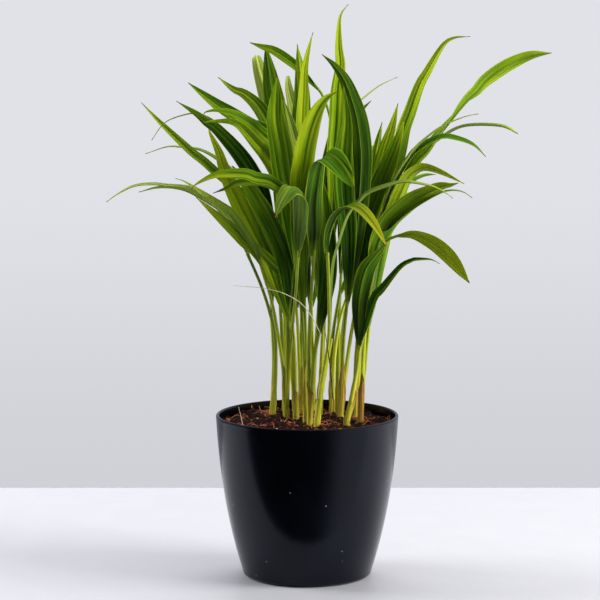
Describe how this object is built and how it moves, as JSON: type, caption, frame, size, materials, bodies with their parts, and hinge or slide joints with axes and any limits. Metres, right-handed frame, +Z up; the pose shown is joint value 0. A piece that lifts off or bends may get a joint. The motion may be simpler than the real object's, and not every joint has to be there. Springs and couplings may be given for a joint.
{
  "type": "potted palm",
  "caption": "Young clumping palm with long strap leaves on slim stalks, growing in a round tapered black pot filled with fibrous potting soil.",
  "frame": {"origin": "on the pot's axis, at the surface that it stands on", "axes": "+Z up along the pot's axis and the plant's height; the front looks along -Y"},
  "size_m": [0.3185, 0.2376, 0.4063],
  "materials": {
    "pot": "smooth black moulded plastic with a soft gloss",
    "soil": "loose red-brown coir and peat with pale specks",
    "palm": "satin living leaf with fine lengthwise veins, yellow-green stalks"
  },
  "bodies": {
    "root": {"pot": "pot", "soil": "soil", "palm_01": "palm", "palm_02": "palm", "palm_03": "palm", "palm_04": "palm", "palm_05": "palm", "palm_06": "palm", "palm_07": "palm", "palm_08": "palm", "palm_09": "palm", "palm_10": "palm", "palm_11": "palm", "palm_12": "palm", "palm_13": "palm", "palm_14": "palm", "palm_15": "palm", "palm_16": "palm", "palm_17": "palm", "palm_18": "palm"}
  },
  "joints": []
}
